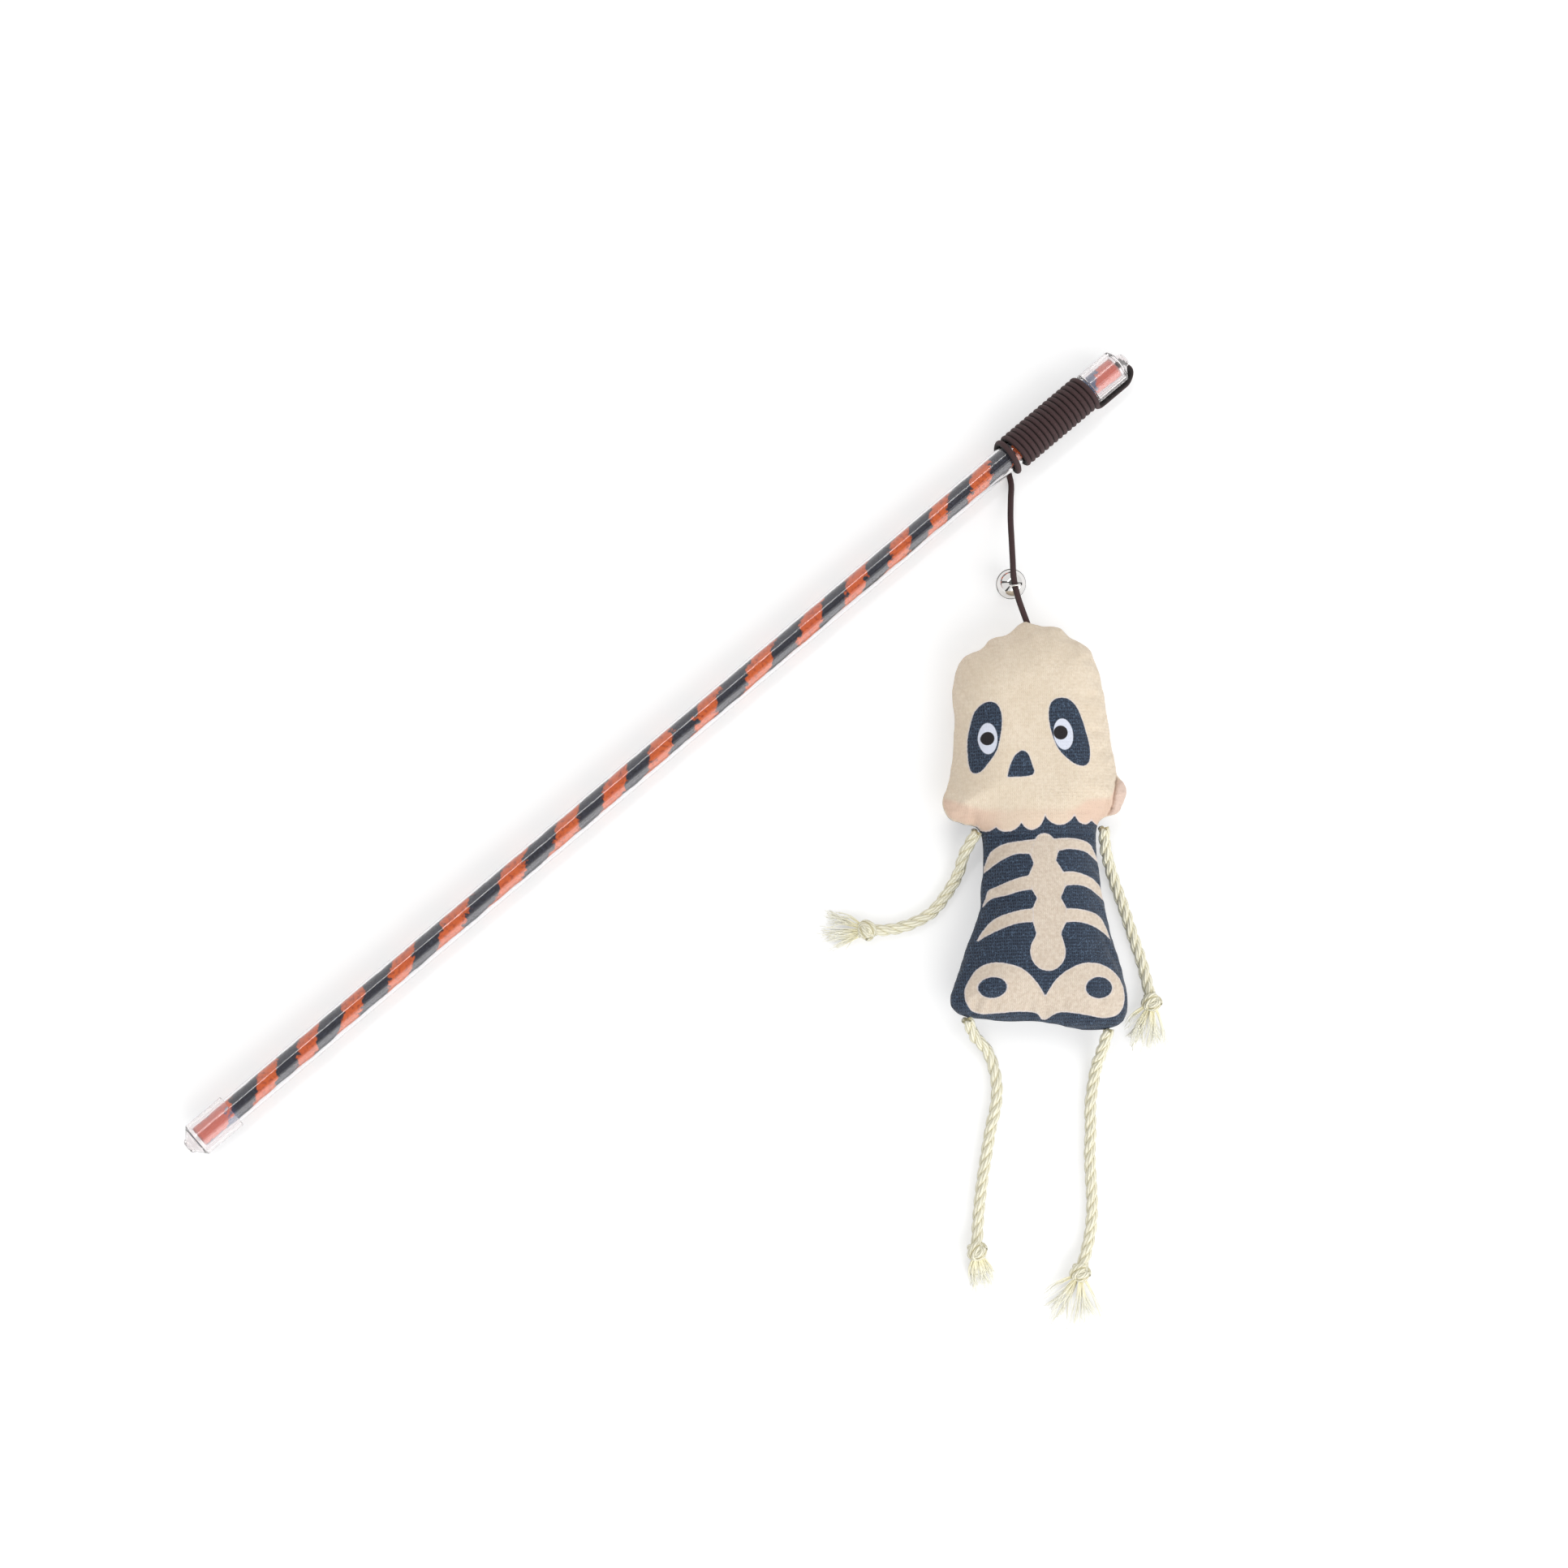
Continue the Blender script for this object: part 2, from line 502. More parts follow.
# doll cover: a bag of thin cotton jersey, printed on the front, sewn round its edge and stuffed
cover = {
    "outline": [(-0.3, -1.1), (2.5, -1.9), (5.6, -2.7), (9, -2.6), (11.7, -3.5), (13.2, -5.4), (15, -6.9),
                (17.2, -7.9), (19.4, -9.2), (21.3, -11), (22.2, -13.8), (23.5, -17), (24.4, -20.8),
                (25.2, -25.9), (26, -32.1), (26.6, -38.2), (27.4, -44.4), (28.4, -50), (28.7, -53),
                (30.5, -54.1), (31.5, -57), (31.1, -59.8), (29.8, -62.3), (29, -64.4), (26.2, -65.5),
                (23.6, -66.2), (21.4, -68.4), (20.9, -76), (21.5, -85), (22.4, -92.4), (24.6, -104.4),
                (26.2, -110), (27.6, -115.4), (28.8, -121), (29.2, -126), (28.6, -130.6), (26.6, -133.4),
                (23.2, -134.8), (18.2, -135.2), (12.7, -134.9), (8.1, -133.8), (3, -132.6),
                (-3.6, -131.9), (-9.7, -131.9), (-14.8, -131.3), (-21, -130.6), (-25.8, -129.4),
                (-28.3, -127.5), (-29.3, -125.4), (-29, -122.6), (-27.6, -119), (-25.8, -114.2),
                (-24.3, -110), (-23.1, -106.6), (-21.4, -103), (-19.6, -98.4), (-18.3, -94.6),
                (-18.2, -89.6), (-17.3, -84.6), (-17, -80), (-16.8, -75), (-17.6, -69.8), (-20, -67.9),
                (-22.6, -67.6), (-25, -66.6), (-27.5, -65.7), (-29, -63.2), (-29.9, -60.8),
                (-29.4, -58.3), (-28.2, -56), (-26.8, -51), (-25.8, -45), (-25.1, -38.5), (-24.8, -32.4),
                (-25.1, -27.3), (-25, -22.7), (-24.2, -19), (-23.1, -15.7), (-21.4, -13), (-19.6, -11.7),
                (-17.2, -10.9), (-14.7, -9.9), (-13.4, -8.4), (-12.3, -6.9), (-10.4, -6.2), (-7.9, -5.9),
                (-5.2, -4.7), (-3.4, -3.1), (-1.9, -1.8)],
    # how high the stuffed front stands along the doll, from the crown of the head down
    "crowns": [(0, 11.4), (-62, 11.4), (-66, 10.8), (-72, 8.6), (-80, 9.8), (-95, 10.6), (-140, 10.6)],
    "undersideMm": 8.7, "edgeMm": 17, "underEdgeMm": 8, "hemMm": 0.6,
    # small puckers where the seam gathers the jersey: depth, spacing along the seam and reach from it
    "pucker": {"depthMm": 0.45, "stepMm": 6.5, "reachMm": 5, "middleMm": -66, "radiusMm": 70, "riseMm": 1.5},
    # how full the stuffing swells the front and the back, less is fuller
    "swell": (0.72, 0.8),
    # the blank before it is shaped, and the strip along its edge that the seam holds
    "blankMm": 3, "blankFaceMm": 1.4, "voxelMm": 1.25, "seamMm": 0.9,
    "simScale": 8, "pressure": 4, "ease": -0.05, "bending": 0.05, "capMm": 0.9, "frames": 20,
    # reach and depth of each fold in the front: the ear's crease, the jaw's roll, the tuck and the wrinkles
    "folds": {"crease": (0.55, 1.5), "roll": (1.2, 0.9), "tuck": (1.8, 0.25), "wrinkle": (1.1, 0.55)},
    "frontMm": 2, "tuckHalfMm": 24, "neck": (-64, -76), "fill": 0.6,
}
printed = {
    "teeth": [((-24.5, -63.2), 9.5, 6.2), ((-15.8, -65.3), 3.6, 4.9), ((-9.9, -64.2), 5.2, 6.5),
              ((-2.3, -64.6), 4.2, 5.8), ((6.8, -63.2), 5.6, 5.8), ((15.6, -62.4), 4.4, 6.3),
              ((24, -61), 8.5, 8.2)],
    "jawLine": -64.2,
    "sockets": [[(-14.3, -28.7), (-12.3, -30.1), (-11.3, -33.4), (-11.7, -38.6), (-13.3, -44.6),
                 (-16.2, -48.8), (-18.1, -51), (-20.1, -51.7), (-21.4, -50.4), (-21.9, -46),
                 (-21.6, -40.4), (-20.5, -35.2), (-19.2, -31.5), (-17, -29.2)],
                [(7.6, -27.9), (10.8, -28.3), (13.5, -30.9), (15.3, -35.1), (16.9, -40.3), (17.6, -45),
                 (17.2, -48.3), (15.7, -49.9), (13.2, -49.8), (10.3, -48.1), (7, -44.6), (5.2, -40.3),
                 (4.2, -35.6), (4.3, -31.3), (5.4, -29)]],
    "nose": [[(-9.2, -49.5), (-7.3, -46.2), (-4.9, -44.8), (-3.1, -46.1), (-2, -49.2), (-1.3, -51.7)],
             [(-1.6, -52.6), (-4.3, -53.2), (-10.1, -53.4)], [(-10.2, -53.2), (-9.2, -49.5)]],
    # centre, half width, half height and lean in degrees
    "eyeWhites": [((-15.8, -40.6), 2.9, 5.1, 0), ((8.7, -39.7), 3.2, 5.1, 6)],
    "pupils": [((-15.9, -40.6), 2.1, 2.2, 0), ((7.8, -39.2), 2.35, 2.3, 0)],
    "spine": [(-1.4, -73.4), (-3.3, -78.3), (-2.3, -81.3), (-4, -84.9), (-3.3, -89.8), (-1.7, -92.6),
              (-3.3, -95.7), (-3.4, -100.3), (-2.4, -103.9), (-4, -108), (6.8, -108), (5.7, -104.1),
              (7.5, -100.5), (7.8, -95.9), (6.1, -92.6), (7.9, -88.8), (7.3, -84.1), (5.1, -80.4),
              (6.1, -77.5), (4.9, -73.4)],
    "knobs": [((1.7, -74.6), 3.3, 3.1, 0), ((1.2, -109.8), 5.8, 6.3, 0)],
    "ribs": [[[(-1, -73.4), (-8, -74), (-11.7, -74.8), (-14.6, -76.6), (-15.9, -79), (-17.4, -83.4)],
              [(-17.3, -83.9), (-14.1, -81.3), (-10.9, -79.3), (-7.2, -78), (-3, -78.3)]],
             [[(4, -73.4), (9.4, -73.1), (14.1, -73.6), (17.6, -75), (19.3, -77.3), (21.2, -80.4)],
              [(21.1, -81), (18, -78.9), (15, -77.4), (9.7, -76.8), (5.8, -77.5)]],
             [[(-3.5, -85.1), (-6.5, -85.6), (-10.3, -86.8), (-13.9, -88.3), (-16, -89.2), (-16.8, -91),
               (-17.9, -94.6)],
              [(-17.6, -94.7), (-16, -92.6), (-14.1, -91.8), (-10.5, -91.2), (-6.6, -90.1), (-3, -89.8)]],
             [[(7, -84.2), (11.5, -84.2), (15.8, -85.4), (18.8, -86.8), (21.3, -89), (22.4, -93)],
              [(22.4, -93.5), (19.1, -91.1), (15.6, -89.3), (11.8, -88.5), (7.5, -88.8)]],
             [[(-3, -95.9), (-6.9, -96.2), (-10.7, -97.1), (-13.5, -98), (-15.8, -99.4), (-18.6, -102.5),
               (-20.6, -105.6)],
              [(-20.2, -105.8), (-17.8, -104.3), (-15.1, -103), (-10.9, -101.3), (-7, -100.4),
               (-3, -100.3)]],
             [[(7.5, -96), (12, -96.3), (16.2, -97.1), (19.3, -98.4), (21.5, -100.8), (24, -106.2)],
              [(23.8, -106.4), (21.4, -104.4), (18.6, -102.7), (14.9, -101.2), (11.2, -100.5),
               (7, -100.6)]]],
    "hips": [[[(0.3, -124.1), (-1.3, -121.5), (-3.8, -118.3), (-7.1, -115.3), (-10.9, -113.7),
               (-15.1, -112.9), (-18.8, -113.4), (-21.8, -115.3), (-23.9, -118.3), (-25.3, -121.2),
               (-25.4, -123.8), (-24.6, -126.2), (-22.8, -128.2), (-19.6, -129.2), (-14.9, -129.1),
               (-9.1, -128.8), (-4.2, -128.9), (-1.7, -129.6), (0.2, -131.2), (1.1, -131.5)],
              [(1.3, -131.4), (1.2, -124)]],
             [[(0.3, -124.1), (1.4, -122), (3.5, -119), (6.6, -116.4), (11.2, -114.2), (15.3, -113.7),
               (19.4, -114.4), (23.2, -116.4), (25.9, -119.3), (27.3, -123), (27.2, -126.5),
               (26.1, -129.1), (23.6, -131), (19.6, -131.5), (14.8, -130.6), (8.7, -129.5), (5.2, -129.4),
               (3.2, -130.3), (2, -131.3), (1.1, -131.5)],
              [(0.9, -131.4), (0.6, -124.6)]]],
    "hipHoles": [((-16.8, -120.9), 4.4, 3.3, 0), ((17.9, -121.8), 4.6, 3.4, 0)],
    # the pale jersey gives way to a pink one along this line, and it is tucked in at the jaw's corners
    "pinkLine": [(-29.2, -58.5), (-27.8, -59.5), (-25.8, -60.3), (-23.3, -61.6), (-20.2, -62.4),
                 (-16.6, -63.2), (-13.1, -63.1), (-10, -63.6), (-5.9, -62.9), (-3.3, -63.2), (0.3, -63.5),
                 (3.4, -62.8), (7, -63.7), (10.6, -63.5), (13.8, -62.3), (15.9, -60.8), (20, -60.3),
                 (24.2, -60.2), (26.9, -56.1), (28.8, -53.3)],
    "ear": [(28.6, -52.4), (27.2, -55.8), (26.1, -59.4), (25.7, -63), (24.6, -66.4)],
    "jawRoll": [(-29.4, -58.2), (-28.4, -61.3), (-26.1, -63.4), (-23.1, -64.8), (-20.3, -65.8)],
    # how the pink fades in, where it ends, and how much of it shows in the middle and more at the corners
    "pink": {"fadeMm": 2.4, "ahead": 0.4, "endMm": -72, "middleX": -1, "cornerMm": 9,
             "least": 0.45, "more": 0.55},
    "earFade": {"acrossMm": 0.8, "topMm": -53, "downMm": 1.5, "endMm": -68},
    "mostMm": 9,  # the fields are cut off at this distance
    "wrinkles": [[(-17.2, -93.6), (-13, -93.2), (-9, -92.4)], [(-15.5, -96.4), (-13.6, -92.6), (-14, -88)],
                 [(-8, -127.5), (0.8, -128.4), (6.5, -126.6)], [(0.8, -131), (0.6, -126.5), (-2.5, -122.5)],
                 [(-16.4, -84), (-13.2, -87.6), (-12, -91.5)], [(22, -64.6), (17, -64), (12.5, -64.8)]],
}
# the knit's columns and rows are drawn a little wider than the yarn so that they show
jersey = {"cream": "#F0E2CE", "creamDeep": "#DDCBB2", "bone": "#E4D7C7", "boneDeep": "#CAB7A3",
          "navy": "#172030", "navyFleck": "#5C728C", "eyeWhite": "#DFE4F2", "pupil": "#1E1B1E",
          "crease": "#9C7460", "pink": "#E4C4AF", "earPink": "#DFC6B8", "halo": "#DCD8E2",
          "columnMm": 0.68, "rowMm": 1.1, "bumpMm": 0.1, "roughness": 0.92, "sheen": 0.15,
          "edgeWanderMm": 0.4, "heatherRise": 1.6,
          "grainsMm": {"heather": 1.1, "patch": 13, "edge": 0.8, "fleck": 0.6}}


def ellipseField(x, y, shape):  # signed distance in mm, more than zero inside
    (cx, cy), halfWidth, halfHeight = shape[:3]
    lean = math.radians(shape[3] if len(shape) > 3 else 0)
    across = (x - cx) * math.cos(lean) + (y - cy) * math.sin(lean)
    along = (y - cy) * math.cos(lean) - (x - cx) * math.sin(lean)
    return (1 - np.sqrt((across / halfWidth) ** 2 + (along / halfHeight) ** 2)) * min(halfWidth, halfHeight)


def smoothFlat(points, stepMm=0.6, closed=False):
    points = [Vector((p[0], p[1], 0)) for p in points]
    if not closed:
        return [(p.x, p.y) for p in smoothPath(points, stepMm)]
    wrapped = smoothPath(points[-3:] + points + points[:3], stepMm)
    first = min(range(len(wrapped) // 2), key=lambda i: (wrapped[i] - points[0]).length)
    last = min(range(len(wrapped) // 2, len(wrapped)), key=lambda i: (wrapped[i] - points[0]).length)
    return [(p.x, p.y) for p in wrapped[first:last]]


def lineDistance(x, y, points, closed=False):
    ends = points[1:] + (points[:1] if closed else [])
    least = np.full(len(x), 1e9)
    for (ax, ay), (bx, by) in zip(points, ends):
        dx, dy = bx - ax, by - ay
        t = np.clip(((x - ax) * dx + (y - ay) * dy) / (dx * dx + dy * dy + 1e-12), 0, 1)
        least = np.minimum(least, np.hypot(x - ax - t * dx, y - ay - t * dy))
    return least


def polygonField(x, y, points):  # signed distance in mm, more than zero inside
    inside = np.zeros(len(x), dtype=bool)
    for (ax, ay), (bx, by) in zip(points, points[1:] + points[:1]):
        crosses = (ay > y) != (by > y)
        inside ^= crosses & (x < (bx - ax) * (y - ay) / ((by - ay) or 1e-12) + ax)
    return np.where(inside, 1, -1) * lineDistance(x, y, points, closed=True)


def paleField(x, y):  # where the print leaves the jersey pale: the head, and the bones on the body
    head = y - printed["jawLine"]
    for tooth in printed["teeth"]:
        head = np.maximum(head, ellipseField(x, y, tooth))
    for socket in printed["sockets"]:
        head = np.minimum(head, -polygonField(x, y, smoothFlat(socket, closed=True)))
    nose = [p for curve in printed["nose"] for p in smoothFlat(curve)]
    head = np.minimum(head, -polygonField(x, y, nose))
    bones = polygonField(x, y, printed["spine"])
    for knob in printed["knobs"]:
        bones = np.maximum(bones, ellipseField(x, y, knob))
    for rib in printed["ribs"]:
        bones = np.maximum(bones, polygonField(x, y, [p for curve in rib for p in smoothFlat(curve)]))
    hips = np.full(len(x), -1e9)
    for hip in printed["hips"]:
        hips = np.maximum(hips, polygonField(x, y, [p for curve in hip for p in smoothFlat(curve)]))
    for hole in printed["hipHoles"]:
        hips = np.minimum(hips, -ellipseField(x, y, hole))
    return head, np.maximum(bones, hips)


def coverShape(x, y, side, outline):  # the stuffed height over the seam's plane, less than zero behind it
    depth = lineDistance(x, y, outline, closed=True) * (polygonField(x, y, outline) > 0)
    crown = np.interp(-y, [-p[0] for p in cover["crowns"]], [p[1] for p in cover["crowns"]])
    front, behind = (np.sin(np.clip(depth / cover[edge], 0, 1) * math.pi / 2) ** swell
                     for edge, swell in zip(("edgeMm", "underEdgeMm"), cover["swell"]))
    hem = cover["hemMm"]
    top = hem + (crown - hem) * front
    under = hem + (cover["undersideMm"] - hem) * behind
    return np.where(side > 0, side * top, side * under), depth


def applyModifiers(obj):
    depsgraph = bpy.context.evaluated_depsgraph_get()
    data = bpy.data.meshes.new_from_object(obj.evaluated_get(depsgraph))
    old = obj.data
    obj.modifiers.clear()
    obj.data = data
    bpy.data.meshes.remove(old)


def coords(mesh):
    flat = np.empty(len(mesh.vertices) * 3)
    mesh.vertices.foreach_get("co", flat)
    return flat.reshape(-1, 3)


def setCoords(mesh, places):
    mesh.vertices.foreach_set("co", places.reshape(-1))
    mesh.update()


def puffCover(obj, seam):  # cloth simulation: the stuffing pushes the eased jersey out, the seam holds
    places = coords(obj.data)
    grown = places * cover["simScale"]
    setCoords(obj.data, grown)
    group = obj.vertex_groups.new(name="seam")
    group.add([int(i) for i in np.nonzero(seam)[0]], 1.0, "REPLACE")
    cloth = obj.modifiers.new("cloth", "CLOTH")
    cloth.settings.use_pressure = True
    cloth.settings.uniform_pressure_force = cover["pressure"]
    cloth.settings.shrink_min = cover["ease"]
    cloth.settings.vertex_group_mass = "seam"
    cloth.settings.bending_stiffness = cover["bending"]
    cloth.settings.effector_weights.gravity = 0
    cloth.point_cache.frame_start = 1
    cloth.point_cache.frame_end = cover["frames"]
    for step in range(1, cover["frames"] + 1):
        bpy.context.scene.frame_set(step)
    applyModifiers(obj)
    bpy.context.scene.frame_set(1)
    obj.vertex_groups.clear()
    moved = coords(obj.data) / cover["simScale"] - places
    size = np.linalg.norm(moved, axis=1)
    print("cover puffed, moved mm: mean", round(size.mean() / mm, 2), "most", round(size.max() / mm, 2))
    cap = cover["capMm"] * mm
    moved *= np.minimum(1, cap / np.maximum(size, 1e-9))[:, None]
    setCoords(obj.data, places + moved)


def makeCover():
    outline = smoothFlat(cover["outline"], 1.0, closed=True)
    blank, pucker, pink, fade = cover["blankMm"] * mm, cover["pucker"], printed["pink"], printed["earFade"]
    mesh = bmesh.new()
    face = mesh.faces.new([mesh.verts.new((x * mm, y * mm, -blank / 2)) for x, y in outline])
    made = bmesh.ops.extrude_face_region(mesh, geom=[face])["geom"]
    top = [g for g in made if isinstance(g, bmesh.types.BMVert)]
    bmesh.ops.translate(mesh, vec=(0, 0, blank), verts=top)
    obj = showMesh("doll_cover", mesh, jerseyMaterial(), None)
    remesh = obj.modifiers.new("remesh", "REMESH")
    remesh.mode = "VOXEL"
    remesh.voxel_size = cover["voxelMm"] * mm
    applyModifiers(obj)
    places = coords(obj.data)
    side = np.clip(places[:, 2] / (cover["blankFaceMm"] * mm), -1, 1)
    height, depth = coverShape(places[:, 0] / mm, places[:, 1] / mm, side, outline)
    places[:, 2] = height * mm
    setCoords(obj.data, places)
    puffCover(obj, depth < cover["seamMm"])
    finer = obj.modifiers.new("finer", "SUBSURF")
    finer.levels = finer.render_levels = 1
    applyModifiers(obj)
    places = coords(obj.data)
    x, y, z = (places[:, i] / mm for i in range(3))
    front = np.clip(z / cover["frontMm"], 0, 1)
    under = np.interp(x, *zip(*printed["pinkLine"]))
    # how far each point is from each fold: the tuck runs along the pink's edge, the others on their lines
    away = {"crease": lineDistance(x, y, smoothFlat(printed["ear"])),
            "roll": lineDistance(x, y, smoothFlat(printed["jawRoll"])), "tuck": y - under,
            "wrinkle": np.minimum.reduce([lineDistance(x, y, smoothFlat(p)) for p in printed["wrinkles"]])}
    fold = {name: np.exp(-(away[name] / reach) ** 2) for name, (reach, depth) in cover["folds"].items()}
    fold["tuck"] *= np.abs(x) < cover["tuckHalfMm"]
    near = np.exp(-(lineDistance(x, y, outline, closed=True) / pucker["reachMm"]) ** 2)
    turn = np.arctan2(y - pucker["middleMm"], x) * pucker["radiusMm"] / pucker["stepMm"]
    # two waves that don't meet in step, so that no two puckers are alike
    gather = 0.6 * np.sin(2 * math.pi * turn) + 0.4 * np.sin(2 * math.pi * 1.7 * turn + 1)
    gather *= pucker["depthMm"] * near * np.clip(z / pucker["riseMm"], 0, 1)
    z -= gather + front * sum(depth * fold[name] for name, (reach, depth) in cover["folds"].items())
    z = np.maximum(z, -cover["undersideMm"])
    head, bones = paleField(x, y)
    pale = np.where(front > 0, np.maximum(head, bones), y - printed["jawLine"])
    white, pupil = (np.where(front > 0, np.maximum(*(ellipseField(x, y, eye) for eye in printed[eyes])),
                             -printed["mostMm"]) for eyes in ("eyeWhites", "pupils"))
    corner = np.clip((np.abs(x - pink["middleX"]) - pink["cornerMm"]) / pink["cornerMm"], 0, 1)
    blush = front * np.clip((under - y) / pink["fadeMm"] + pink["ahead"], 0, 1) * (y > pink["endMm"]) \
        * (pink["least"] + pink["more"] * corner)
    earEdge = np.interp(-y, [-p[1] for p in printed["ear"]], [p[0] for p in printed["ear"]])
    ear = front * np.clip((x - earEdge) / fade["acrossMm"], 0, 1) \
        * np.clip((fade["topMm"] - y) / fade["downMm"], 0, 1) * (y > fade["endMm"])
    values = {"pale": pale, "eyeWhite": white, "pupil": pupil, "pink": np.maximum(blush, ear), "ear": ear,
              "crease": front * fold["crease"], "bony": (bones > head).astype(float)}
    for name, field in values.items():
        attribute = obj.data.attributes.new(name, "FLOAT", "POINT")
        attribute.data.foreach_set("value", np.clip(field, -printed["mostMm"], printed["mostMm"]))
    uv = obj.data.uv_layers.new(name="UVMap")
    owner = np.empty(len(obj.data.loops), dtype=int)
    obj.data.loops.foreach_get("vertex_index", owner)
    uv.data.foreach_set("uv", np.stack([x[owner], y[owner]], axis=1).reshape(-1))
    setCoords(obj.data, np.stack([x, y, z], axis=1) * mm)
    obj.data.transform(dollFrame)
    for face in obj.data.polygons:
        face.use_smooth = True
    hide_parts("head_front", "head_back", "body_front", "body_back")
    start, end = cover["neck"]
    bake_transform(obj, "doll_head", "doll_body", start=tuple(onDoll(0, start)), end=tuple(onDoll(0, end)))
    print("doll cover made:", len(obj.data.polygons), "faces")


def jerseyMaterial():  # printed cotton jersey: matt and heathered, with faint columns and rows of stitches
    material, tree, shader = newMaterial("printedCottonJersey")
    uv = addNode(tree, "UVMap", uv_map="UVMap")
    place = addNode(tree, "TexCoord").outputs["Object"]
    field = {name: addNode(tree, "Attribute", attribute_name=name).outputs["Fac"]
             for name in ("pale", "eyeWhite", "pupil", "pink", "ear", "crease", "bony")}
    grain = {name: addNode(tree, "TexNoise", {"Vector": place, "Scale": 1 / (size * mm), "Detail": 3.0,
                                              "Roughness": 0.6}).outputs[0]
             for name, size in jersey["grainsMm"].items()}
    # a wave texture runs twenty radians over each unit of its scale, and the UV map is in millimetres
    knit = [addNode(tree, "TexWave", {"Vector": uv, "Scale": math.pi / 10 / size, "Distortion": 1.2,
                                      "Detail": 1.0, "Detail Scale": 0.4}, bands_direction=direction)
            for direction, size in (("X", jersey["columnMm"]), ("Y", jersey["rowMm"]))]
    stitch = addNode(tree, "Math", {0: knit[0], 1: knit[1]}, operation="MULTIPLY")
    edge = addNode(tree, "Math", {0: grain["edge"], 1: jersey["edgeWanderMm"], 2: field["pale"]},
                   operation="MULTIPLY_ADD")
    # how far each layer covers the ones before it: its field, that field's range, and the most it covers
    ranges = {"heather": (grain["heather"], 0.3, 0.75, 0.75), "patch": (grain["patch"], 0.35, 0.65, 0.3),
              "bony": (field["bony"], 0.0, 1.0, 1.0), "pink": (field["pink"], 0.0, 1.0, 0.8),
              "ear": (field["ear"], 0.0, 1.0, 0.8), "halo": (field["pale"], 0.5, 0.1, 0.5),
              "stitch": (stitch, 0.5, 0.0, 0.22), "fleck": (grain["fleck"], 0.5, 0.72, 0.75),
              "printed": (edge, 0.32, 0.08, 1.0), "eyeWhite": (field["eyeWhite"], -0.12, 0.12, 1.0),
              "pupil": (field["pupil"], -0.12, 0.12, 1.0), "crease": (field["crease"], 0.3, 1.0, 0.5)}
    face = layColors(tree, jersey, ranges, (
        ("bones", "bone", [("heather", "boneDeep"), ("stitch", "boneDeep")]),
        ("ink", "navy", [("fleck", "navyFleck"), ("stitch", "navyFleck")]),
        ("face", "cream", [("heather", "creamDeep"), ("patch", "creamDeep"), ("stitch", "creamDeep"),
                           ("bony", "bones"), ("pink", "pink"), ("ear", "earPink"), ("halo", "halo"),
                           ("printed", "ink"), ("eyeWhite", "eyeWhite"), ("pupil", "pupil"),
                           ("crease", "crease")])))
    height = addNode(tree, "Math", {0: grain["heather"], 1: jersey["heatherRise"], 2: stitch},
                     operation="MULTIPLY_ADD")
    bump = addNode(tree, "Bump", {"Height": height, "Distance": jersey["bumpMm"] * mm})
    feed(tree, shader, {"Base Color": face, "Normal": bump, "Roughness": jersey["roughness"],
                        "Sheen Weight": jersey["sheen"]})
    return material


makeCover()

# the winding: the cord hooks over the tip cap, is wound round the wand and leaves by the hitch
winding = {
    "tubeEnd": 390.8, "capDepth": 12.1, "clearOfCap": 0.65, "pitch": 2.03, "tightTurns": 15,
    # the hitch: its turns, its step along the wand, the share that comes back, each move's begin and span
    "hitchTurns": 1.75, "hitchStep": 2.3, "hitchReturn": 0.78,
    "hitchTimes": ((0.5, 0.5), (1, 0.5), (1.5, 0.25)),
    "hookTurn": -18, "leadTurn": 30, "ringsPerTurn": 32, "radius": 5.5, "sides": 14, "leadStep": 0.7,
    "hookRoute": [(2.1, 0.4), (2.7, 1.3), (3.2, 2.2), (3.6, 3.1), (3.7, 4), (3.3, 4.9), (2.5, 5.6),
                  (1.4, 6.3), (0, 6.8), (-2.8, 6.85), (-6.3, 6.85), (-9.6, 6.85)],
    "entryRoute": [(-11.6, 6.8, 0), (-12.4, 6.5, 2), (-12.95, 6.2, 7), (-13.25, 5.9, 13),
                   (-13.38, 5.65, 21)],
    "tailMm": 2.6, "tailShares": (0.35, 0.7, 1.0),
    # the lead ends this near the first turn, and its outer side turns over this far behind the tube's end
    "joinMm": 0.5, "overlapMm": 0.3, "turnOverMm": 8,
}


def ease(t):  # from 0 to 1, slow at both ends
    t = max(0.0, min(1.0, t))
    return t * t * (3 - 2 * t)


